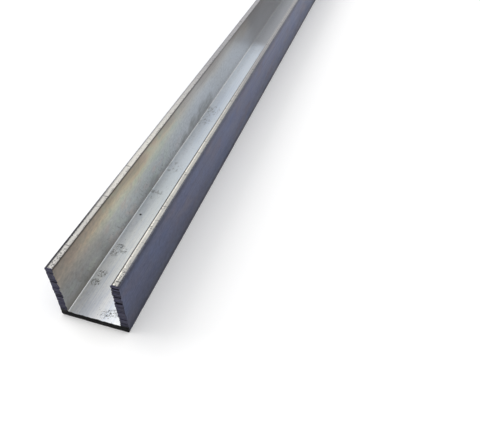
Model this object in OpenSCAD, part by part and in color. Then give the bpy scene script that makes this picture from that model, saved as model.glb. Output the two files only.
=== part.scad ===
// Extruded aluminium U channel, a straight length of equal-sided stock.
// It lies on its web with the groove open upwards. Length runs along Y, width along X.
// The origin is on the underside of the web, at the middle of the bar.

/* [Section] */
// Outside width, across both flanges
section_width = 20; // [12:0.5:60]
// Outside height, from the underside of the web to the lips
section_height = 20; // [8:0.5:60]
// Thickness of the web
web_thickness = 2; // [1:0.1:4]
// Thickness of each flange
flange_thickness = 2; // [1:0.1:4]

/* [Edges] */
// Radius of the two outside corners under the web
outer_corner_radius = 0.4; // [0.2:0.1:1.5]
// Radius of the fillet inside, where the web meets each flange
inner_fillet_radius = 0.3; // [0.1:0.1:1.5]
// Radius along both edges of each lip
lip_edge_radius = 0.2; // [0.1:0.05:0.45]

/* [Length] */
// Length of the bar between its two sawn ends
bar_length = 500; // [50:10:6000]

/* [Hidden] */
$fn = 64;
groove_width = section_width - 2 * flange_thickness;
// Overlap between the shapes of the section, so that no two outlines only touch
overlap = 0.05;

// The space between a square corner at the origin and an arc that rounds it into +X and +Y
module corner_space(radius) {
    difference() {
        translate([-overlap, -overlap]) square(radius + overlap);
        translate([radius, radius]) circle(radius);
    }
}

// Copies its children to the mirror side of the section
module both_sides() {
    children();
    mirror([1, 0]) children();
}

// Web and flanges with square edges, centred across the width
module square_section() {
    difference() {
        translate([-section_width / 2, 0]) square([section_width, section_height]);
        translate([-groove_width / 2, web_thickness]) square([groove_width, section_height]);
    }
}

// What the rounded edges take off: the corners under the web, then both edges of the lips
module edge_cuts() {
    both_sides() {
        translate([-section_width / 2, 0]) corner_space(outer_corner_radius);
        translate([-section_width / 2, section_height]) mirror([0, 1]) corner_space(lip_edge_radius);
        translate([-groove_width / 2, section_height]) rotate(180) corner_space(lip_edge_radius);
    }
}

// What the fillets at the foot of each flange add
module inner_fillets() {
    both_sides()
        translate([-groove_width / 2, web_thickness]) corner_space(inner_fillet_radius);
}

module channel_section() {
    difference() {
        square_section();
        edge_cuts();
    }
    inner_fillets();
}

module channel() {
    color("lightsteelblue")
        rotate([90, 0, 0])
            linear_extrude(height = bar_length, center = true)
                channel_section();
}

channel();
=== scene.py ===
import math
import random

import bmesh
import bpy
from mathutils import Matrix, Vector, noise


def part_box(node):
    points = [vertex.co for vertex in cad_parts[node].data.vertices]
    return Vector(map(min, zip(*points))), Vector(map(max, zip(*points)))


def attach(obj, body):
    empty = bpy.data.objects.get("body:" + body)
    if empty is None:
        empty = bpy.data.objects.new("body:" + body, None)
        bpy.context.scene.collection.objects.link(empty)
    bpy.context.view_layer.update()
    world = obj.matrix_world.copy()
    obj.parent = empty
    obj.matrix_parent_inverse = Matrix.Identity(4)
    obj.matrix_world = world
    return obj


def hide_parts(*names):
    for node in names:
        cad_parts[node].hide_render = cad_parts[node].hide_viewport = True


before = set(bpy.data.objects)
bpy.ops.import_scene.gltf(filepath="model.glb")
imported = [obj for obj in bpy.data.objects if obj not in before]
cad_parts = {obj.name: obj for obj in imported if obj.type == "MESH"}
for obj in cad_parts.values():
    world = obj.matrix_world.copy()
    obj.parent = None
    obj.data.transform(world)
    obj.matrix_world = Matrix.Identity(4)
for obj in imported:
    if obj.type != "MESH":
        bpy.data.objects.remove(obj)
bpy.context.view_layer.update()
mm = 0.001

# Tolerances of the cuts
cutWithin = 0.0005 * mm
mergeWithin = 0.0004 * mm
hair = 0.0002 * mm    # between a point and the level that it was cut at
slack = 0.01 * mm     # between a point or a face and a plane of the plain bar

# The bar as packed: every place below starts from its box
lowCorner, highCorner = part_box("channel")
halfWidth = highCorner.x
barHeight = highCorner.z
nearEnd, farEnd = lowCorner.y, highCorner.y
print("frame loaded, bar", [round(v / mm, 2) for v in highCorner - lowCorner], "mm")


# Camera at the photo's angle
photoView = {
    "fromNearEnd": (58.5, -67.5, 117.2),  # mm from the middle of the near end's lower edge
    "azimuth": 15.62,
    "elevation": 43.39,
    "roll": 2.47,
    "focalPixels": 517.6,
    "imageWidth": 480,
    "clipStart": 5 * mm,
}


def addCamera(view):
    camera = bpy.data.cameras.new("photoCamera")
    camera.sensor_fit = "HORIZONTAL"
    camera.lens = camera.sensor_width * view["focalPixels"] / view["imageWidth"]
    camera.clip_start = view["clipStart"]
    holder = bpy.data.objects.new("photoCamera", camera)
    bpy.context.scene.collection.objects.link(holder)
    turn = (
        Matrix.Rotation(math.radians(view["azimuth"]), 4, "Z")
        @ Matrix.Rotation(math.radians(90 - view["elevation"]), 4, "X")
        @ Matrix.Rotation(math.radians(view["roll"]), 4, "Z")
    )
    spot = Vector((0, nearEnd, 0)) + Vector(view["fromNearEnd"]) * mm
    holder.matrix_world = Matrix.Translation(spot) @ turn
    bpy.context.scene.camera = holder


addCamera(photoView)
print("camera placed")


# Shape of the channel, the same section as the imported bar
channelShape = {
    "wall": 2.0 * mm,          # web and flanges alike
    "outerCorner": 0.4 * mm,   # radius of the corners under the web
    "innerFillet": 0.3 * mm,   # radius at the foot of each flange
    "lipRound": 0.2 * mm,      # radius along both edges of a lip
    "cornerSteps": 6,
    "edgeSteps": 4,
}
halfGroove = halfWidth - channelShape["wall"]
slotNames = ["web", "flange", "lip", "outside", "sawn"]


def extrudeSection(bm, shape):
    lip, foot, corner = shape["lipRound"], shape["innerFillet"], shape["outerCorner"]
    # Corners of the U walked round once, left to right along the underside first
    corners = [
        (-halfWidth, 0, corner), (halfWidth, 0, corner),
        (halfWidth, barHeight, lip), (halfGroove, barHeight, lip),
        (halfGroove, shape["wall"], foot), (-halfGroove, shape["wall"], foot),
        (-halfGroove, barHeight, lip), (-halfWidth, barHeight, lip),
    ]
    points = [bm.verts.new((x, nearEnd, z)) for x, z, radius in corners]
    bm.faces.new(points)
    for point, (x, z, radius) in zip(points, corners):
        steps = shape["cornerSteps"] if radius == corner else shape["edgeSteps"]
        bmesh.ops.bevel(
            bm, geom=[point], offset=radius, affect="VERTICES",
            segments=steps, profile=0.5, material=-1,
        )
    pulled = bmesh.ops.extrude_face_region(bm, geom=bm.faces[:])
    moved = [part for part in pulled["geom"] if isinstance(part, bmesh.types.BMVert)]
    bmesh.ops.translate(bm, vec=(0, farEnd - nearEnd, 0), verts=moved)
    bmesh.ops.recalc_face_normals(bm, faces=bm.faces)


def sortFaces(bm, shape):
    # Which finish each face of the plain bar takes; later cuts keep it, apart from the torn rim of an end
    for face in bm.faces:
        middle, way = face.calc_center_median(), face.normal
        inside = abs(middle.x) < halfGroove + shape["lipRound"] and middle.z > shape["wall"] - slack
        if abs(way.y) > 0.9:  # faces along the bar
            finish = "sawn"
        elif middle.z > barHeight - shape["lipRound"] and abs(way.x) < 0.99:  # not a side
            finish = "lip"
        elif inside and way.z > 0.7:  # faces up
            finish = "web"
        elif inside:
            finish = "flange"
        else:
            finish = "outside"
        face.material_index = slotNames.index(finish)
        face.smooth = max(abs(way.x), abs(way.y), abs(way.z)) < 0.999  # only the round edges


def cutAcross(bm, place, normal, picked):
    # Splits only the picked faces along a plane
    faces = [face for face in bm.faces if picked(face)]
    edges = dict.fromkeys(edge for face in faces for edge in face.edges)
    points = dict.fromkeys(point for face in faces for point in face.verts)
    bmesh.ops.bisect_plane(
        bm, geom=[*faces, *edges, *points], plane_co=place, plane_no=normal, dist=cutWithin
    )


# Sawn ends: a hand saw leaves ledges straight across the flanges, frayed edges and burrs
sawCut = {
    "slant": 1.6,               # degrees that the strokes run out of level
    "deepStrokes": (18.4, 14.9, 12.3, 10.8, 8.5, 5.4, 3.3),  # mm up the end
    "grooveHeight": (0.12, 0.32),  # mm
    "grooveDepth": 0.36 * mm,
    "ledgeDepth": 0.22 * mm,    # most that the metal between two deep strokes stands back
    "toothGap": (0.3, 0.75),    # mm between fine strokes
    "toothDepth": 0.10 * mm,
    "step": 0.05 * mm,          # height over which one stroke turns into the next
    "outerFray": 0.08 * mm,     # most that a stroke draws an outer edge of the end back
    "innerFray": 0.28 * mm,     # most that it pushes an inner edge over into the groove
    "cellWidth": 0.5 * mm,      # spacing of the cuts across the end
    "rings": (0.35 * mm, 1.2 * mm),  # cuts round the bar behind the end
    "rimVary": 0.30 * mm,       # wander of the dark torn rim round the end, about the first ring
    "rimGrain": 0.8 * mm,
    "rimOnWeb": (0.5, -0.7),    # on the web the rim wanders less and is narrower
    "leanReach": 12 * mm,       # the lean of the cut dies out this far along the bar
    "overrun": 1.0 * mm,        # the strokes slant, so they start below the bar and end above it
    "bite": (0.35, 1),          # share of its depth that a stroke has on either side
    "toothVary": 0.3,           # unevenness along a stroke, as a share of toothDepth
    "toothGrain": 0.9 * mm,
    "frayCatch": 0.21 * mm,     # how far off an edge a point still moves with it
    "burrCatch": 0.308 * mm,    # the same for a burr, a little more than innerFray
    "burrAtRing": 0.35,         # share of a burr's reach that is left at the first ring
    "burrUnder": 0.12,          # length of a burr below its tip, as a share of that above
}
sawnEnds = [
    # lean sets the foot of the cut back from its top, skew one flange from the other;
    # a burr has its side, the height of its tip, its length above the tip and its reach in mm
    {"at": nearEnd, "into": 1, "seed": 4, "lean": 1.07 * mm, "skew": 0.22 * mm,
     "burrs": [(-1, 12.4, 2.6, 0.36), (-1, 8.4, 2.6, 0.34), (1, 15.6, 3.8, 0.28), (1, 11.0, 3.6, 0.24),
               (1, 6.6, 3.0, 0.20)]},
    {"at": farEnd, "into": -1, "seed": 9, "lean": 0.5 * mm, "skew": -0.3 * mm,
     "burrs": [(1, 13.5, 1.8, 0.34), (-1, 9.6, 1.4, 0.22), (1, 5.4, 1.6, 0.30)]},
]


def strokeBands(cut, seed):
    # Saw strokes from the underside up: lower edge, depth, bite on the left and the right side,
    # and the shift of the four flange edges
    dice = random.Random(seed)
    deep = sorted(height * mm for height in cut["deepStrokes"])
    bands, level, back = [], -cut["overrun"], 0.0

    def addBand(lower, depth):
        bite = (dice.uniform(*cut["bite"]), dice.uniform(*cut["bite"]))
        shifts = [dice.random() for edge in range(4)]
        bands.append({"level": lower, "depth": depth, "bite": bite, "shifts": shifts})

    while level < barHeight + cut["overrun"]:
        nextLevel = level + dice.uniform(*cut["toothGap"]) * mm
        addBand(level, back + dice.uniform(0, cut["toothDepth"]))
        if deep and deep[0] < nextLevel:
            groove = max(deep.pop(0), level + 2 * cut["step"])
            addBand(groove, cut["grooveDepth"])
            nextLevel = groove + dice.uniform(*cut["grooveHeight"]) * mm
            back = dice.uniform(0, cut["ledgeDepth"])
        level = nextLevel
    return bands


def frayEdge(point, shifts, cut):
    edges = [(-halfWidth, cut["outerFray"]), (-halfGroove, cut["innerFray"]),
             (halfGroove, -cut["innerFray"]), (halfWidth, -cut["outerFray"])]
    for (edge, reach), shift in zip(edges, shifts):
        if abs(point.co.x - edge) < cut["frayCatch"]:
            point.co.x += reach * shift
            return


def sawEnd(bm, end, cut, depthLayer):
    at, into = end["at"], end["into"]
    rings = [at + into * ring for ring in cut["rings"]]
    slant = math.radians(cut["slant"])
    acrossStroke = Vector((-math.sin(slant), 0, math.cos(slant)))

    def beyond(level):
        return lambda face: all((point.co.y - level) * into < hair for point in face.verts)

    for level in rings:
        cutAcross(bm, (0, level, 0), (0, 1, 0), lambda face: True)
    for step in range(1, int(2 * halfWidth / cut["cellWidth"])):
        cutAcross(bm, (step * cut["cellWidth"] - halfWidth, 0, 0), (1, 0, 0), beyond(rings[-1]))
    bands = strokeBands(cut, end["seed"])
    for band in bands:
        for height in (band["level"], band["level"] + cut["step"]):
            cutAcross(bm, acrossStroke * height, acrossStroke, beyond(rings[-1]))

    for face in bm.faces:
        if beyond(rings[0])(face):
            face.material_index = slotNames.index("sawn")
    endPoints = [point for point in bm.verts if abs(point.co.y - at) < hair]
    ringPoints = [point for point in bm.verts if abs(point.co.y - rings[0]) < hair]
    webShare, webShift = cut["rimOnWeb"]
    for point in ringPoints:
        onWeb = abs(point.co.x) < halfGroove
        wander = noise.noise(Vector((point.co.x, end["seed"], point.co.z)) / cut["rimGrain"])
        point.co.y += into * cut["rimVary"] * (webShare * wander + webShift if onWeb else wander)
    for point in endPoints:
        height = point.co.dot(acrossStroke) - 0.5 * cut["step"]
        stroke = [band for band in bands if band["level"] <= height][-1]
        wander = noise.noise(Vector((point.co.x, end["seed"], point.co.z)) / cut["toothGrain"])
        bite = stroke["bite"][0 if point.co.x < 0 else 1]
        depth = max(0, stroke["depth"] * bite + cut["toothVary"] * cut["toothDepth"] * wander)
        point[depthLayer] = depth / cut["grooveDepth"]
        point.co.y = at + into * depth
        if point.co.z > channelShape["wall"] + channelShape["innerFillet"]:
            frayEdge(point, stroke["shifts"], cut)
    for side, tip, length, burrReach in end["burrs"]:
        for points, share in ((endPoints, 1), (ringPoints, cut["burrAtRing"])):
            for point in points:
                onInnerEdge = abs(point.co.x - side * halfGroove) < cut["burrCatch"]
                above = point.co.z / mm - tip
                rise = 1 - above / length if above > 0 else 1 + above / (cut["burrUnder"] * length)
                if onInnerEdge and rise > 0:
                    point.co.x -= side * share * rise * burrReach * mm
    # The whole cut leans: points near the end shift along the bar, less and less inwards
    for point in bm.verts:
        inwards = (point.co.y - at) * into
        if inwards < cut["leanReach"]:
            share = 1 - max(0, inwards) / cut["leanReach"]
            foot = 1 - point.co.z / barHeight
            rightward = (point.co.x + halfWidth) / (2 * halfWidth)
            skew = end["skew"] * rightward if end["skew"] > 0 else -end["skew"] * (1 - rightward)
            point.co.y += into * share * (end["lean"] * foot + skew)


# Nicks knocked across the lips and one pit in the web, by distance from the near end in mm
lipNicks = [
    # side, place, half length, depth, share of the lip from its outer edge
    (1, 6.5, 0.45, 0.13, 1.0), (1, 27.9, 0.3, 0.10, 1.0), (1, 36.9, 0.25, 0.06, 0.7),
    (1, 47.4, 0.4, 0.10, 1.0), (-1, 31.7, 0.3, 0.13, 0.6), (-1, 35.9, 0.3, 0.13, 0.7),
    (-1, 22.2, 0.25, 0.07, 0.8), (-1, 12.4, 0.35, 0.08, 1.0), (1, 118.0, 0.4, 0.10, 0.8),
    (-1, 161.0, 0.4, 0.12, 0.7), (1, 233.0, 0.35, 0.10, 1.0), (-1, 274.0, 0.4, 0.12, 0.6),
    (1, 331.0, 0.4, 0.12, 0.8), (-1, 402.0, 0.35, 0.10, 1.0), (1, 455.0, 0.3, 0.12, 0.7),
]
nickFloor = 0.35  # share of a nick's length that its floor takes up
webPit = {
    "fromEnd": 42.8 * mm,
    "x": -6.2 * mm,
    "radius": 0.42 * mm,
    "depth": 0.22 * mm,
    "cells": 8,
    "cellReach": 1.5,   # radii that the fine cells reach out to, and the hollow in them
    "hollowReach": 1.4,
    "steepness": 2.5,
}


def nickLip(bm, side, fromEnd, halfLength, depth, share):
    y = nearEnd + fromEnd * mm
    lipFloor = barHeight - channelShape["lipRound"]

    def onLip(face):
        middle = face.calc_center_median()
        return middle.z > lipFloor + slack and middle.x * side > 0

    for offset in (-1, -nickFloor, nickFloor, 1):
        cutAcross(bm, (0, y + offset * halfLength * mm, 0), (0, 1, 0), onLip)
    # Only the points of its floor go down, and its ends stay at the level of the lip
    for point in bm.verts:
        along = abs(point.co.y - y) / (halfLength * mm)
        if along < 0.5 and point.co.z > lipFloor + slack and point.co.x * side > 0:
            inwards = (halfWidth - abs(point.co.x)) / channelShape["wall"]
            raised = (point.co.z - lipFloor) / channelShape["lipRound"]
            if inwards < share + 0.01:  # with a little slack
                point.co.z -= raised * depth * mm


def pressPit(bm, pit):
    y = nearEnd + pit["fromEnd"]
    webTop = channelShape["wall"]
    gridReach = pit["cellReach"] * pit["radius"]

    def onWeb(face):
        middle = face.calc_center_median()
        return abs(middle.z - webTop) < slack and abs(middle.x) < halfGroove

    def inStrip(face):
        return onWeb(face) and abs(face.calc_center_median().y - y) < gridReach

    steps = [(2 * step / pit["cells"] - 1) * gridReach for step in range(pit["cells"] + 1)]
    for step in steps:
        cutAcross(bm, (0, y + step, 0), (0, 1, 0), onWeb)
    for step in steps:
        cutAcross(bm, (pit["x"] + step, 0, 0), (1, 0, 0), inStrip)
    centre = Vector((pit["x"], y, webTop))
    for point in bm.verts:
        away = (point.co - centre).length / pit["radius"]
        if away < pit["hollowReach"]:
            point.co.z -= pit["depth"] * math.exp(-pit["steepness"] * away * away)
            for face in point.link_faces:
                face.smooth = True


def makeChannel():
    bm = bmesh.new()
    extrudeSection(bm, channelShape)
    sortFaces(bm, channelShape)
    for nick in lipNicks:
        nickLip(bm, *nick)
    pressPit(bm, webPit)
    depthLayer = bm.verts.layers.float.new("sawDepth")
    for end in sawnEnds:
        sawEnd(bm, end, sawCut, depthLayer)
    bmesh.ops.remove_doubles(bm, verts=bm.verts, dist=mergeWithin)
    mesh = bpy.data.meshes.new("aluminiumChannel")
    bm.to_mesh(mesh)
    bm.free()
    piece = bpy.data.objects.new("aluminiumChannel", mesh)
    bpy.context.scene.collection.objects.link(piece)
    print("channel modelled,", len(mesh.polygons), "faces")
    return piece


# Materials: sizes and places in the finishes are in mm, and four numbers say where a change
# starts and ends and the amounts there
smoothly = {"interpolation_type": "SMOOTHSTEP"}  # settings that many nodes share
asColour = {"data_type": "RGBA"}
leftToRight = (-1, 1)  # x in mm, over which a mask changes from the left side to the right one


def hexColour(code):
    # sRGB hex to the linear colour that the nodes take
    parts = [int(code[place:place + 2], 16) / 255 for place in (0, 2, 4)]
    linear = [part / 12.92 if part <= 0.04045 else ((part + 0.055) / 1.055) ** 2.4 for part in parts]
    return (*linear, 1)


def addNode(tree, kind, inputs, stops=(), **settings):
    # One node with its settings; inputs come in order or by name, a socket is linked and anything
    # else is a value. Gives back the outputs that are in use
    node = tree.nodes.new("ShaderNode" + kind)
    for name, value in settings.items():
        setattr(node, name, value)
    inUse = [socket for socket in node.inputs if socket.enabled]
    pairs = inputs if isinstance(inputs, dict) else dict(enumerate(inputs))
    for key, value in pairs.items():
        socket = node.inputs[key] if isinstance(key, str) else inUse[key]
        if isinstance(value, bpy.types.NodeSocket):
            tree.links.new(value, socket)
        else:
            socket.default_value = value
    if stops:
        elements = node.color_ramp.elements
        while len(elements) < len(stops):
            elements.new(1)
        for element, (spot, code) in zip(elements, stops):
            element.position = spot
            element.color = hexColour(code)
    return [socket for socket in node.outputs if socket.enabled]


def startMetal(name):
    # An empty material with its place on the bar in mm: x across, y from the near end, z up
    material = bpy.data.materials.new(name)
    material.use_nodes = True
    tree = material.node_tree
    tree.nodes.clear()
    coords = {output.name: output for output in addNode(tree, "TexCoord", [])}
    toMillimetres = [coords["Object"], (1 / mm,) * 3, (0, -nearEnd / mm, 0)]
    place = addNode(tree, "VectorMath", toMillimetres, operation="MULTIPLY_ADD")[0]
    return material, tree, place


def finishMetal(tree, colour, roughness, height, depth):
    # Bare metal whose height, about 0 to 1, stands up by depth mm
    raised = addNode(tree, "Bump", {"Height": height, "Distance": depth * mm, "Strength": 1.0})[0]
    metal = addNode(tree, "BsdfPrincipled", {
        "Base Color": colour, "Metallic": 1.0, "Roughness": roughness, "Normal": raised,
    })[0]
    addNode(tree, "OutputMaterial", {"Surface": metal})


def grain(tree, place, size, detail=2.0):
    # A soft pattern whose grain measures the given mm along x, y and z
    fitted = addNode(tree, "VectorMath", [place, [1 / length for length in size]], operation="MULTIPLY")[0]
    return addNode(tree, "TexNoise", {
        "Vector": fitted, "Scale": 1.0, "Detail": detail, "Roughness": 0.55,
    })[0]


def strongest(tree, masks):
    # The highest of several masks at each point, each at its own strength
    top = 0.0
    for mask, strength in masks:
        weighed = addNode(tree, "Math", [mask, strength], operation="MULTIPLY")[0]
        top = addNode(tree, "Math", [top, weighed], operation="MAXIMUM")[0]
    return top


def spotted(tree, place, spots):
    # 1 up to half the radius of each spot and 0 past its radius, in mm
    masks = []
    for centre, radius in spots:
        away = addNode(tree, "VectorMath", [place, centre], operation="DISTANCE")[0]
        masks.append((addNode(tree, "MapRange", [away, 0.5 * radius, radius, 1, 0], **smoothly)[0], 1))
    return strongest(tree, masks)


# Groove floor: extruded aluminium as it left the die, pale and slightly blue, drawn with fine lines
webFinish = {
    "tone": [(0.38, "DEE7F4"), (0.56, "FAFDFF")],
    "dieLine": (0.35, 110, 0.35),   # mm; real die lines are finer than a pixel and are drawn coarser
    "cloud": (4, 24, 4),
    "cloudShare": 0.6,              # of the clouds in the tone, beside the lines
    "mottle": (0.5, 1.0, 0.5),      # mm, fine uneven grain over the lines
    "mottled": (0.3, 0.7, 0, 0.22),
    "mottleTone": "BFC5D6",
    "far": "D3DFEC",                # greyer and bluer further along; the paler web beside the cut is a painted reflection
    "farReach": (5, 70, 0, 0.6),
    "foot": "BABDBF",               # greyer strip along the left flange, to where it ends across the web
    "footEdge": (-4.8, -3.6, 0.1, 0),
    "footSway": 1.2,                # mm that its edge wanders
    "creaseHighlight": "F6F8FA",             # painted highlight: a pale line where web and flange meet
    "creaseAt": (7.25, 7.6),
    "creaseReach": (15, 110, 0.2, 0.65),
    "darkening": "34363A",
    "scribble": (1.1, 0.8, 1),      # mm, size of the loops that grit has scratched
    "loopWidth": (0.02, 0.08, 1, 0),  # distance from the pattern's middle value
    "gap": (0.55, 0.55, 1),         # mm, breaks in the loops
    "gapped": (0.44, 0.54, 0, 1),
    "scribbled": 0.85,              # how strongly the loops show
    # Scuffs and smears: x, y and radius of each
    "scuffs": [(-6.0, 12.6, 1.9), (-5.8, 16.2, 2.0), (-6.1, 24.8, 1.9), (-5.6, 27.4, 1.8),
               (-4.0, 26.2, 1.5), (2.4, 3.6, 2.2), (4.6, 4.6, 1.8), (4.5, 203.0, 4.0),
               (-2.0, 331.0, 4.0), (5.0, 437.0, 3.0)],
    "blot": (0.9, 1.8, 1),          # mm
    "blotted": (0.46, 0.70, 0, 1),
    "blotShares": {"smears": 0.42, "foot": 0.8, "scuffs": 0.4},  # how strongly they show in each
    "smears": [(-6.6, 103.0, 4.5), (-6.2, 111.0, 5.0), (-6.0, 70.0, 4.0), (-6.2, 54.0, 3.5),
               (3.0, 262.0, 9.0), (-5.0, 380.0, 9.0)],
    "speck": (0.45, 0.6, 1),        # mm
    "specked": (0.68, 0.76, 0, 1),
    "speckShare": 0.4,
    "pitDirt": (0.25, 0.6, 1, 0),   # mm from the middle of the pit
    "pitShare": 0.95,
    "dimReflectionTone": "A9ABAF",               # painted reflection: a dim patch further along, where the groove mirrors darker surroundings, with a soft wandering edge
    "dimReflection": ((174, 192, 0, 1), (290, 330, 0.85, 0)),
    "dimReflectionBay": (9, 9, 9),         # mm, size of the bays in that edge, and how far they reach
    "dimReflectionSway": 14,
    "roughness": (0.3, 0.7, 0.38, 0.50),
    "bump": 0.007,                  # mm
    "markDepth": 0.8,               # depth of scratches and blots, as a share of the bump
}


def webMaterial(finish):
    material, tree, place = startMetal("millFinishAluminiumWeb")
    x, y = addNode(tree, "SeparateXYZ", [place])[:2]
    webTop = channelShape["wall"] / mm
    lines = grain(tree, place, finish["dieLine"], detail=4.0)
    clouds = grain(tree, place, finish["cloud"])
    mixed = addNode(tree, "Mix", [finish["cloudShare"], lines, clouds])[0]
    colour = addNode(tree, "ValToRGB", [mixed], finish["tone"])[0]
    mottle = grain(tree, place, finish["mottle"], detail=3.0)
    mottle = addNode(tree, "MapRange", [mottle, *finish["mottled"]])[0]
    colour = addNode(tree, "Mix", [mottle, colour, hexColour(finish["mottleTone"])], **asColour)[0]
    far = addNode(tree, "MapRange", [y, *finish["farReach"]], **smoothly)[0]
    colour = addNode(tree, "Mix", [far, colour, hexColour(finish["far"])], **asColour)[0]
    uneven = addNode(tree, "Math", [clouds, finish["footSway"], x], operation="MULTIPLY_ADD")[0]
    foot = addNode(tree, "MapRange", [uneven, *finish["footEdge"]], **smoothly)[0]
    colour = addNode(tree, "Mix", [foot, colour, hexColour(finish["foot"])], **asColour)[0]
    outwards = addNode(tree, "Math", [x], operation="ABSOLUTE")[0]
    creaseHighlight = addNode(tree, "MapRange", [outwards, *finish["creaseAt"], 0, 1], **smoothly)[0]
    along = addNode(tree, "MapRange", [y, *finish["creaseReach"]], **smoothly)[0]
    creaseHighlight = addNode(tree, "Math", [creaseHighlight, along], operation="MULTIPLY")[0]
    colour = addNode(tree, "Mix", [creaseHighlight, colour, hexColour(finish["creaseHighlight"])], **asColour)[0]
    bays = grain(tree, place, finish["dimReflectionBay"])
    edge = addNode(tree, "Math", [bays, finish["dimReflectionSway"], y], operation="MULTIPLY_ADD")[0]
    starts, ends = [addNode(tree, "MapRange", [edge, *reach], **smoothly)[0] for reach in finish["dimReflection"]]
    dimReflection = addNode(tree, "Math", [starts, ends], operation="MULTIPLY")[0]
    colour = addNode(tree, "Mix", [dimReflection, colour, hexColour(finish["dimReflectionTone"])], **asColour)[0]
    # Scribbles: thin loops where a soft pattern crosses its middle value, broken up, in a few patches
    loops = grain(tree, place, finish["scribble"], detail=1.0)
    loops = addNode(tree, "Math", [loops, 0.5], operation="SUBTRACT")[0]
    loops = addNode(tree, "Math", [loops], operation="ABSOLUTE")[0]
    loops = addNode(tree, "MapRange", [loops, *finish["loopWidth"]], **smoothly)[0]
    gaps = grain(tree, place, finish["gap"], detail=1.0)
    broken = addNode(tree, "MapRange", [gaps, *finish["gapped"]], **smoothly)[0]
    scuffed = spotted(tree, place, [((*spot, webTop), radius) for *spot, radius in finish["scuffs"]])
    scribbles = addNode(tree, "Math", [loops, broken], operation="MULTIPLY")[0]
    scribbles = addNode(tree, "Math", [scribbles, scuffed], operation="MULTIPLY")[0]
    # Smears: softer blots of the same dirt, most of them in the grey strip
    blots = grain(tree, place, finish["blot"])
    blots = addNode(tree, "MapRange", [blots, *finish["blotted"]], **smoothly)[0]
    smeared = spotted(tree, place, [((*spot, webTop), radius) for *spot, radius in finish["smears"]])
    share = finish["blotShares"]
    dirty = strongest(tree, [(smeared, share["smears"]), (foot, share["foot"]), (scuffed, share["scuffs"])])
    smears = addNode(tree, "Math", [blots, dirty], operation="MULTIPLY")[0]
    specks = grain(tree, place, finish["speck"], detail=1.0)
    specks = addNode(tree, "MapRange", [specks, *finish["specked"]], **smoothly)[0]
    pitAt = (webPit["x"] / mm, webPit["fromEnd"] / mm, webTop)
    pitAway = addNode(tree, "VectorMath", [place, pitAt], operation="DISTANCE")[0]
    pit = addNode(tree, "MapRange", [pitAway, *finish["pitDirt"]], **smoothly)[0]
    marks = strongest(tree, [(scribbles, finish["scribbled"]), (smears, 1), (specks, finish["speckShare"]),
                             (pit, finish["pitShare"])])
    colour = addNode(tree, "Mix", [marks, colour, hexColour(finish["darkening"])], **asColour)[0]
    roughness = addNode(tree, "MapRange", [clouds, *finish["roughness"]])[0]
    height = addNode(tree, "Math", [marks, -finish["markDepth"], lines], operation="MULTIPLY_ADD")[0]
    finishMetal(tree, colour, roughness, height, finish["bump"])
    return material


# Inside of the flanges: the same metal under an oily film, golden near the lips and grey at the web, with
# painted shade beside the cut, in the corner with the web and under the lip, and a painted reflection
# further along
flangeFinish = {
    "stained": [(0.0, "B4B6B6"), (0.28, "CED0CF"), (0.52, "E6E6DF"), (0.70, "F3EFD8"), (0.86, "F6E6C7"),
                (1.0, "D6C5AD")],
    "clean": [(0.0, "D5D6D9"), (0.3, "E5E6E8"), (0.6, "F0F0F0"), (0.85, "EEEAE4"), (1.0, "DAD2CA")],
    "dieLine": (1, 140, 0.45),
    "wander": (9, 34, 9),           # mm, size of the soft bays in the edge of every stain
    "sway": 40,                     # mm that they reach, so stains end about 20 mm nearer than written
    "rise": (-0.35, 0.65),          # place among the tones at web and lip, before wander and lines
    "riseWander": 0.5,
    "riseLines": 0.2,
    "filmReach": (72, 125, 1, 0),   # the film fades along the bar
    "filmRight": 0.35,              # and lies thinner on the right flange
    "tints": [("EACBB8", (0.52, 0.72, 0, 0.32)),   # faint red and green bays of the oil
              ("D4DEC9", (0.48, 0.30, 0, 0.38))],
    "tintSize": (5, 5, 3.5),
    "rosy": "E3C4B8",               # and redder beside the cut, on the upper half
    "rosyReach": (24, 52, 0.45, 0),
    "rosyHeight": (7, 13, 0, 1),
    "smudgeAndShade": "86847F",
    "nearCutShade": (20, 62, 0.56, 0),   # painted shade, darker near the cut
    "lowReach": (145, 190, 0.19, 0),  # darker low down, less and less from half the height on
    "lowHeight": (10.5, 15.5, 1, 0),
    "footReach": (70, 160, 0.45, 0.2),  # and painted shade, dark in the corner with the web
    "footHeight": (2.2, 5.5, 1, 0),
    "smears": [((-8, 95, 2.5), 7.0), ((-8, 105, 2.5), 8.0), ((-8, 113, 2.5), 7.0), ((-8, 86, 2), 5.0),
               ((-8, 58, 2.5), 5.0), ((8, 240, 3), 8.0), ((-8, 352, 3), 8.0)],
    "mottle": (0.9, 1.5, 0.9),      # mm, uneven grain of the dirt
    "mottled": (0.3, 0.7, -0.14, 0.14),
    "blot": (2, 4, 2),              # mm, soft blots that a smear is made of
    "blotted": (0.36, 0.66, 0.5, 1),
    "blotShare": 0.62,
    "strokes": (2.0, 0.6, 2.2),     # mm, short strokes of dirt that lean up from the web
    "strokeLean": -36,              # degrees
    "stroked": (0.54, 0.70, 0, 1),
    "strokeHeight": (4, 11, 0.8, 0),
    "strokeReach": (60, 110, 1, 0.3),
    # painted reflection: the same dim patch as on the web, its edge slanting down the flange
    "dimReflectionTone": "C8C7C8",
    "dimReflection": ((186, 200, 0, 1), (300, 340, 0.85, 0)),
    "dimReflectionSway": 14,               # mm
    "underLipShade": "3A3430",          # painted shade: a dark line just under the lip
    "edgeHeight": (18.9, 19.6, 0, 0.8),
    "edgeReach": (60, 160, 1, 0.35),
    "roughness": (0.3, 0.7, 0.34, 0.46),
    "bump": 0.008,                  # mm
}


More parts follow.
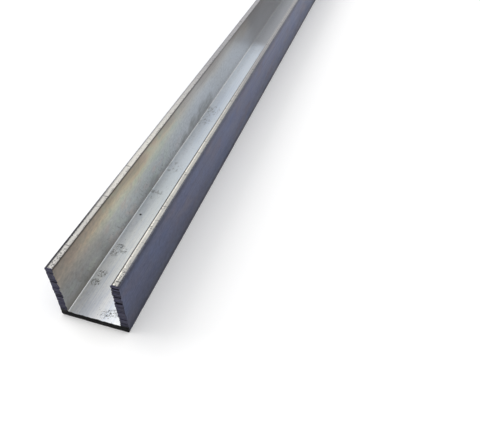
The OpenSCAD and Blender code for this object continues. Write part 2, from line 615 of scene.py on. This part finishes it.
def flangeMaterial(finish):
    material, tree, place = startMetal("oilStainedAluminiumFlange")
    x, y, z = addNode(tree, "SeparateXYZ", [place])
    wander = grain(tree, place, finish["wander"])
    lines = grain(tree, place, finish["dieLine"], detail=4.0)
    # How far up the flange, with an uneven edge: 0 at the web and 1 at the lip
    upTo = [channelShape["wall"] / mm, barHeight / mm, *finish["rise"]]
    rise = addNode(tree, "MapRange", [z, *upTo], **smoothly)[0]
    rise = addNode(tree, "Math", [wander, finish["riseWander"], rise], operation="MULTIPLY_ADD")[0]
    rise = addNode(tree, "Math", [lines, finish["riseLines"], rise], operation="MULTIPLY_ADD")[0]
    stained = addNode(tree, "ValToRGB", [rise], finish["stained"])[0]
    clean = addNode(tree, "ValToRGB", [rise], finish["clean"])[0]
    bays = grain(tree, place, finish["tintSize"], detail=1.0)
    for tint, reach in finish["tints"]:
        amount = addNode(tree, "MapRange", [bays, *reach], **smoothly)[0]
        stained = addNode(tree, "Mix", [amount, stained, hexColour(tint)], **asColour)[0]
    unevenY = addNode(tree, "Math", [wander, finish["sway"], y], operation="MULTIPLY_ADD")[0]
    rosy = addNode(tree, "MapRange", [unevenY, *finish["rosyReach"]], **smoothly)[0]
    upper = addNode(tree, "MapRange", [z, *finish["rosyHeight"]], **smoothly)[0]
    rosy = addNode(tree, "Math", [rosy, upper], operation="MULTIPLY")[0]
    stained = addNode(tree, "Mix", [rosy, stained, hexColour(finish["rosy"])], **asColour)[0]
    film = addNode(tree, "MapRange", [unevenY, *finish["filmReach"]], **smoothly)[0]
    thinner = addNode(tree, "MapRange", [x, *leftToRight, 1, finish["filmRight"]])[0]
    film = addNode(tree, "Math", [film, thinner], operation="MULTIPLY")[0]
    colour = addNode(tree, "Mix", [film, clean, stained], **asColour)[0]
    # Darkening by height and by distance from the cut: painted shade near the cut and in the corner with
    # the web, darker low down, with the mottled grain of the dirt
    dirtAndShade = addNode(tree, "MapRange", [unevenY, *finish["nearCutShade"]], **smoothly)[0]
    for reach, height in (("lowReach", "lowHeight"), ("footReach", "footHeight")):
        along = addNode(tree, "MapRange", [unevenY, *finish[reach]], **smoothly)[0]
        up = addNode(tree, "MapRange", [z, *finish[height]], **smoothly)[0]
        dirtAndShade = addNode(tree, "Math", [along, up, dirtAndShade], operation="MULTIPLY_ADD")[0]
    mottle = grain(tree, place, finish["mottle"], detail=3.0)
    mottle = addNode(tree, "MapRange", [mottle, *finish["mottled"]])[0]
    dirtAndShade = addNode(tree, "Math", [dirtAndShade, mottle], operation="ADD", use_clamp=True)[0]
    colour = addNode(tree, "Mix", [dirtAndShade, colour, hexColour(finish["smudgeAndShade"])], **asColour)[0]
    lean = (math.radians(finish["strokeLean"]), 0, 0)
    tilted = addNode(tree, "Mapping", {"Vector": place, "Rotation": lean})[0]
    strokes = grain(tree, tilted, finish["strokes"])
    strokes = addNode(tree, "MapRange", [strokes, *finish["stroked"]], **smoothly)[0]
    for way, reach in ((z, "strokeHeight"), (y, "strokeReach")):
        share = addNode(tree, "MapRange", [way, *finish[reach]], **smoothly)[0]
        strokes = addNode(tree, "Math", [strokes, share], operation="MULTIPLY")[0]
    blots = grain(tree, place, finish["blot"])
    blots = addNode(tree, "MapRange", [blots, *finish["blotted"]], **smoothly)[0]
    blots = addNode(tree, "Math", [blots, spotted(tree, place, finish["smears"])], operation="MULTIPLY")[0]
    smudges = strongest(tree, [(strokes, 1), (blots, finish["blotShare"])])
    colour = addNode(tree, "Mix", [smudges, colour, hexColour(finish["smudgeAndShade"])], **asColour)[0]
    # Painted reflection: the dim patch further along
    edge = addNode(tree, "Math", [wander, finish["dimReflectionSway"], y], operation="MULTIPLY_ADD")[0]
    edge = addNode(tree, "Math", [edge, z], operation="ADD")[0]
    starts, ends = [addNode(tree, "MapRange", [edge, *reach], **smoothly)[0] for reach in finish["dimReflection"]]
    dimReflection = addNode(tree, "Math", [starts, ends], operation="MULTIPLY")[0]
    colour = addNode(tree, "Mix", [dimReflection, colour, hexColour(finish["dimReflectionTone"])], **asColour)[0]
    under = addNode(tree, "MapRange", [z, *finish["edgeHeight"]], **smoothly)[0]
    along = addNode(tree, "MapRange", [y, *finish["edgeReach"]], **smoothly)[0]
    under = addNode(tree, "Math", [under, along], operation="MULTIPLY")[0]
    colour = addNode(tree, "Mix", [under, colour, hexColour(finish["underLipShade"])], **asColour)[0]
    roughness = addNode(tree, "MapRange", [wander, *finish["roughness"]])[0]
    finishMetal(tree, colour, roughness, lines, finish["bump"])
    return material


# Lips: edges rubbed bright by handling, warm white, with grime in the knocks and painted shade along the
# edges
lipFinish = {
    "tone": [(0.35, "DFDCD3"), (0.65, "F7F3E8")],
    "cloud": (0.9, 7, 0.9),         # mm
    "left": "D3D0CB",               # the left lip is greyer
    "leftShare": 0.8,
    "far": "A2A1A5",                # darker away from the near end
    "farReach": (50, 130, 0, 0.9),
    "shade": "8C8B8C",              # outer half of the right lip
    "shadeFrom": (0.95, 1.6, 0.62, 0),
    "sawShade": (12, 45, 0.38, 0),  # and all of the left lip beside the cut
    "side": "5E616C",               # painted shade on the outer edge, the same slate as the outside
    "sideFrom": (0.22, 0.5, 1, 0),  # mm in from that edge
    "sideSway": 0.4,                # mm that it wanders
    "sideRight": 0.95,              # how strongly it shows on the right lip
    "sideReach": (50, 130, 0.95, 0.5),  # and along the left one
    "darkening": "333238",
    "mottle": (0.4, 0.55, 0.4),     # mm, fine specks
    "specked": (0.49, 0.59, 0, 1),  # many beside the cut
    "sparse": (0.62, 0.74, 0, 1),   # and few elsewhere
    "tick": (2.4, 0.5, 2.4),        # mm, short knocks across the lip
    "ticked": (0.65, 0.72, 0, 1),
    "nick": (0.5, 1.1, 0.5),        # mm, knocks along its edges
    "nicked": (0.52, 0.66, 0, 1),
    "nickFrom": (0.45, 0.8, 0, 1),  # mm from the middle of the lip
    "sawReach": (3, 13, 1, 0),      # specked with saw dirt near the cut
    "strip": (-9.45, -9.1, 1, 0),   # x, dark strip on the left lip beside the saw cut: painted shade on its outer edge, with a smear
    "stripSway": 0.6,               # mm that its edge wanders
    "stripReach": (12, 50, 0.95, 0.1),
    "innerLeft": (1.84, 1.98, 0, 0.3),   # painted shade: a dark line along the inner edge of each lip
    "innerRight": (1.58, 1.68, 0, 0.97),
    "innerReach": (60, 150, 1, 0.3),
    "shares": {"specks": 0.75, "sparse": 0.5, "ticks": 0.65, "nicks": 0.6},  # how strongly each shows
    "roughness": (0.3, 0.7, 0.28, 0.40),
    "bump": 0.006,                  # mm
}


def lipMaterial(finish):
    material, tree, place = startMetal("rubbedAluminiumLip")
    x, y = addNode(tree, "SeparateXYZ", [place])[:2]
    onRight = addNode(tree, "MapRange", [x, *leftToRight, 0, 1])[0]
    onLeft = addNode(tree, "MapRange", [x, *leftToRight, 1, 0])[0]
    outwards = addNode(tree, "Math", [x], operation="ABSOLUTE")[0]
    inwards = addNode(tree, "Math", [halfWidth / mm, outwards], operation="SUBTRACT")[0]
    clouds = grain(tree, place, finish["cloud"])
    mottle = grain(tree, place, finish["mottle"], detail=1.0)
    colour = addNode(tree, "ValToRGB", [clouds], finish["tone"])[0]
    greyer = addNode(tree, "Math", [onLeft, finish["leftShare"]], operation="MULTIPLY")[0]
    colour = addNode(tree, "Mix", [greyer, colour, hexColour(finish["left"])], **asColour)[0]
    far = addNode(tree, "MapRange", [y, *finish["farReach"]], **smoothly)[0]
    colour = addNode(tree, "Mix", [far, colour, hexColour(finish["far"])], **asColour)[0]
    shade = addNode(tree, "MapRange", [inwards, *finish["shadeFrom"]], **smoothly)[0]
    shade = addNode(tree, "Math", [shade, onRight], operation="MULTIPLY")[0]
    sawShade = addNode(tree, "MapRange", [y, *finish["sawShade"]], **smoothly)[0]
    sawShade = addNode(tree, "Math", [sawShade, onLeft], operation="MULTIPLY")[0]
    shade = addNode(tree, "Math", [shade, sawShade], operation="ADD")[0]
    colour = addNode(tree, "Mix", [shade, colour, hexColour(finish["shade"])], **asColour)[0]
    # Painted shade: the outer edge is slate on the right lip, and less and less so along the left one
    ragged = addNode(tree, "Math", [mottle, finish["sideSway"], inwards], operation="MULTIPLY_ADD")[0]
    ragged = addNode(tree, "Math", [ragged, finish["sideSway"] / 2], operation="SUBTRACT")[0]
    side = addNode(tree, "MapRange", [ragged, *finish["sideFrom"]], **smoothly)[0]
    greyed = addNode(tree, "MapRange", [y, *finish["sideReach"]], **smoothly)[0]
    greyed = strongest(tree, [(onRight, finish["sideRight"]), (greyed, 1)])
    side = addNode(tree, "Math", [side, greyed], operation="MULTIPLY")[0]
    colour = addNode(tree, "Mix", [side, colour, hexColour(finish["side"])], **asColour)[0]
    # Specks of saw dirt, then knocks and ticks in the worn edge
    specks = addNode(tree, "MapRange", [mottle, *finish["specked"]], **smoothly)[0]
    nearSaw = addNode(tree, "MapRange", [y, *finish["sawReach"]], **smoothly)[0]
    specks = addNode(tree, "Math", [specks, nearSaw], operation="MULTIPLY")[0]
    sparse = addNode(tree, "MapRange", [mottle, *finish["sparse"]], **smoothly)[0]
    ticks = grain(tree, place, finish["tick"], detail=1.0)
    ticks = addNode(tree, "MapRange", [ticks, *finish["ticked"]], **smoothly)[0]
    fromMiddle = addNode(tree, "Math", [inwards, 0.5 * channelShape["wall"] / mm], operation="SUBTRACT")[0]
    fromMiddle = addNode(tree, "Math", [fromMiddle], operation="ABSOLUTE")[0]
    nearEdge = addNode(tree, "MapRange", [fromMiddle, *finish["nickFrom"]], **smoothly)[0]
    nicked = grain(tree, place, finish["nick"])
    nicked = addNode(tree, "MapRange", [nicked, *finish["nicked"]], **smoothly)[0]
    nicked = addNode(tree, "Math", [nicked, nearEdge], operation="MULTIPLY")[0]
    # Painted shade along the inner edge of both lips, and a dark strip on the left one beside the saw cut,
    # painted shade on its outer edge with a smear
    inner = []
    fading = addNode(tree, "MapRange", [y, *finish["innerReach"]], **smoothly)[0]
    for reach, onSide in (("innerLeft", onLeft), ("innerRight", onRight)):
        line = addNode(tree, "MapRange", [inwards, *finish[reach]], **smoothly)[0]
        line = addNode(tree, "Math", [line, fading], operation="MULTIPLY")[0]
        inner.append((addNode(tree, "Math", [line, onSide], operation="MULTIPLY")[0], 1))
    jagged = addNode(tree, "Math", [mottle, finish["stripSway"], x], operation="MULTIPLY_ADD")[0]
    jagged = addNode(tree, "Math", [jagged, finish["stripSway"] / 2], operation="SUBTRACT")[0]
    strip = addNode(tree, "MapRange", [jagged, *finish["strip"]], **smoothly)[0]
    beside = addNode(tree, "MapRange", [y, *finish["stripReach"]], **smoothly)[0]
    strip = addNode(tree, "Math", [strip, beside], operation="MULTIPLY")[0]
    share = finish["shares"]
    marks = strongest(tree, [(specks, share["specks"]), (sparse, share["sparse"]), (ticks, share["ticks"]),
                             (nicked, share["nicks"]), (strip, 1), *inner])
    colour = addNode(tree, "Mix", [marks, colour, hexColour(finish["darkening"])], **asColour)[0]
    roughness = addNode(tree, "MapRange", [clouds, *finish["roughness"]])[0]
    height = addNode(tree, "Math", [1.0, marks], operation="SUBTRACT")[0]
    finishMetal(tree, colour, roughness, height, finish["bump"])
    return material


# Outside: mill finish brushed along the bar, its dark slate-blue tone painted shade and painted reflection,
# darker than the same metal inside
outsideFinish = {
    "tone": [(0.34, "4B506A"), (0.66, "656C89")],
    "dieLine": (0.5, 110, 0.5),     # mm, drawn coarser than the real lines
    "cloud": (3.5, 12, 3.5),
    "cloudShare": 0.5,
    "mottle": (0.7, 1.3, 0.7),
    "mottled": (0.3, 0.7, -0.2, 0.2),
    "patches": [("625F72", (0.52, 0.68, 0, 0.8)),   # warmer and bluer patches in that painted tone
                ("545F80", (0.48, 0.32, 0, 0.8))],
    "patchSize": (6, 14, 6),
    "scratchAndShade": "33364A",
    "scratchSize": (3, 0.6, 5),
    "scratchLean": 18,              # degrees
    "scratched": (0.70, 0.76, 0, 0.4),
    "sides": (9.2, 9.6),            # x, where the underside turns up into the sides
    "foot": (0, 13, 0.42, 0),       # painted shade: darker along the foot; darker too just under the lips and towards the near end
    "top": (17.0, 19.9, 0, 0.75),
    "nearer": (0, 90, 0.26, 0),
    "sole": (0.5, 2.8, 0.95, 0),    # painted contact shadow: black where the corner runs under the bar
    "roughness": (0.3, 0.7, 0.40, 0.52),
    "bump": 0.008,                  # mm
}


def outsideMaterial(finish):
    material, tree, place = startMetal("millAluminiumOutsidePaintedShade")
    x, y, z = addNode(tree, "SeparateXYZ", [place])
    lines = grain(tree, place, finish["dieLine"], detail=4.0)
    clouds = grain(tree, place, finish["cloud"], detail=3.0)
    mixed = addNode(tree, "Mix", [finish["cloudShare"], lines, clouds])[0]
    colour = addNode(tree, "ValToRGB", [mixed], finish["tone"])[0]
    patchGrain = grain(tree, place, finish["patchSize"])
    for tint, reach in finish["patches"]:
        amount = addNode(tree, "MapRange", [patchGrain, *reach], **smoothly)[0]
        colour = addNode(tree, "Mix", [amount, colour, hexColour(tint)], **asColour)[0]
    lean = (math.radians(finish["scratchLean"]), 0, 0)
    tilted = addNode(tree, "Mapping", {"Vector": place, "Rotation": lean})[0]
    scratched = grain(tree, tilted, finish["scratchSize"], detail=1.0)
    darkening = addNode(tree, "MapRange", [scratched, *finish["scratched"]], **smoothly)[0]
    mottle = grain(tree, place, finish["mottle"], detail=3.0)
    mottle = addNode(tree, "MapRange", [mottle, *finish["mottled"]])[0]
    darkening = addNode(tree, "Math", [darkening, mottle], operation="ADD")[0]
    outwards = addNode(tree, "Math", [x], operation="ABSOLUTE")[0]
    onSides = addNode(tree, "MapRange", [outwards, *finish["sides"], 0, 1], **smoothly)[0]
    # Scratches and mottle, then painted shade along the foot and at the sole, and darker under the lips and
    # towards the near end
    for way, reach, share in ((z, "foot", onSides), (z, "sole", onSides), (z, "top", 1), (y, "nearer", 1)):
        more = addNode(tree, "MapRange", [way, *finish[reach]], **smoothly)[0]
        darkening = addNode(tree, "Math", [more, share, darkening], operation="MULTIPLY_ADD")[0]
    darkening = addNode(tree, "Math", [darkening, 0], operation="MAXIMUM")[0]
    colour = addNode(tree, "Mix", [darkening, colour, hexColour(finish["scratchAndShade"])], **asColour)[0]
    roughness = addNode(tree, "MapRange", [clouds, *finish["roughness"]])[0]
    finishMetal(tree, colour, roughness, lines, finish["bump"])
    return material


# Sawn ends: torn metal, rough, with saw grime, its dark tone mostly painted shade, and painted shade
# blackest in the deep strokes and along the web end
sawnFinish = {
    "tone": [(0.34, "2C2B37"), (0.66, "504F64")],
    "tear": (1.4, 1, 0.3),          # mm, torn flakes drawn out across the strokes
    "black": "070709",
    "deep": (0.4, 0.8, 0, 1),       # share of the deepest stroke; painted shade in the grooves
    "webHeight": (2.0, 3.6, 1, 0),  # mm up the end; painted shadow and grime over the web end
    "roughness": (0.3, 0.7, 0.5, 0.66),
    "bump": 0.03,                   # mm
}


def sawnMaterial(finish):
    material, tree, place = startMetal("handSawnAluminiumEnd")
    z = addNode(tree, "SeparateXYZ", [place])[2]
    tears = grain(tree, place, finish["tear"], detail=3.0)
    colour = addNode(tree, "ValToRGB", [tears], finish["tone"])[0]
    stored = addNode(tree, "Attribute", [], attribute_name="sawDepth")
    depth = {output.name: output for output in stored}["Fac"]
    for measure, reach in ((depth, "deep"), (z, "webHeight")):
        blackened = addNode(tree, "MapRange", [measure, *finish[reach]], **smoothly)[0]
        colour = addNode(tree, "Mix", [blackened, colour, hexColour(finish["black"])], **asColour)[0]
    roughness = addNode(tree, "MapRange", [tears, *finish["roughness"]])[0]
    finishMetal(tree, colour, roughness, tears, finish["bump"])
    return material


channel = makeChannel()
for material in (webMaterial(webFinish), flangeMaterial(flangeFinish), lipMaterial(lipFinish),
                 outsideMaterial(outsideFinish), sawnMaterial(sawnFinish)):
    channel.data.materials.append(material)
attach(channel, "root")
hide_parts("channel")
print("finishes on the channel")


# Floor, light and background
studio = {
    "floorSize": 60.0,                # m, as are the lamp's distance and size
    "floorColour": "FCFCFC",
    "backgroundLift": 0.06,           # added to the floor for the eye and for mirrors, so that it is white
    "liftSeenBy": ("Is Camera Ray", "Is Glossy Ray", "Is Transmission Ray"),
    "skyColour": "FFFFFF",
    "skyFront": 0.5,                  # soft light from all round, stronger from behind the bar
    "skyBack": 1.0,
    "skyTop": 0.35,                   # more from overhead, by direction upwards
    "skyTopFrom": (0.45, 0.95),
    "keyFrom": (-0.75, 0.05, 0.66),   # direction from the near end to the lamp
    "keyDistance": 2.5,
    "keySize": 2.0,
    "keyPower": 23.0,                 # W
}


def addFloor(setting):
    bm = bmesh.new()
    bmesh.ops.create_grid(bm, x_segments=1, y_segments=1, size=setting["floorSize"] / 2)
    mesh = bpy.data.meshes.new("studioFloor")
    bm.to_mesh(mesh)
    bm.free()
    floor = bpy.data.objects.new("studioFloor", mesh)
    bpy.context.scene.collection.objects.link(floor)
    paint = bpy.data.materials.new("matWhiteFloor")
    paint.use_nodes = True
    paint.node_tree.nodes.clear()
    tree = paint.node_tree
    matWhite = addNode(tree, "BsdfDiffuse", {"Color": hexColour(setting["floorColour"])})[0]
    rays = {ray.name: ray for ray in addNode(tree, "LightPath", [])}
    lifted = strongest(tree, [(rays[name], setting["backgroundLift"]) for name in setting["liftSeenBy"]])
    lift = addNode(tree, "Emission", {"Strength": lifted})[0]
    surface = addNode(tree, "AddShader", [matWhite, lift])[0]
    addNode(tree, "OutputMaterial", {"Surface": surface})
    mesh.materials.append(paint)


def addSky(setting):
    world = bpy.data.worlds.new("softStudio")
    world.use_nodes = True
    world.node_tree.nodes.clear()
    tree = world.node_tree
    direction = addNode(tree, "TexCoord", [])[0]
    behind, upwards = addNode(tree, "SeparateXYZ", [direction])[1:]
    fromBack = [behind, -1, 1, setting["skyFront"], setting["skyBack"]]
    strength = addNode(tree, "MapRange", fromBack, **smoothly)[0]
    overhead = [upwards, *setting["skyTopFrom"], 0, setting["skyTop"]]
    overhead = addNode(tree, "MapRange", overhead, **smoothly)[0]
    strength = addNode(tree, "Math", [strength, overhead], operation="ADD")[0]
    sky = addNode(tree, "Background", {"Color": hexColour(setting["skyColour"]), "Strength": strength})[0]
    addNode(tree, "OutputWorld", {"Surface": sky})
    bpy.context.scene.world = world


def addKeyLamp(setting):
    lamp = bpy.data.lights.new("keySoftbox", "AREA")
    lamp.shape = "SQUARE"
    lamp.size = setting["keySize"]
    lamp.energy = setting["keyPower"]
    holder = bpy.data.objects.new("keySoftbox", lamp)
    bpy.context.scene.collection.objects.link(holder)
    toLamp = Vector(setting["keyFrom"]).normalized()
    holder.location = Vector((0, nearEnd, 0)) + toLamp * setting["keyDistance"]
    holder.rotation_euler = toLamp.to_track_quat("Z", "Y").to_euler()


addFloor(studio)
addSky(studio)
addKeyLamp(studio)
bpy.context.scene.view_settings.view_transform = "Standard"
print("studio lit")
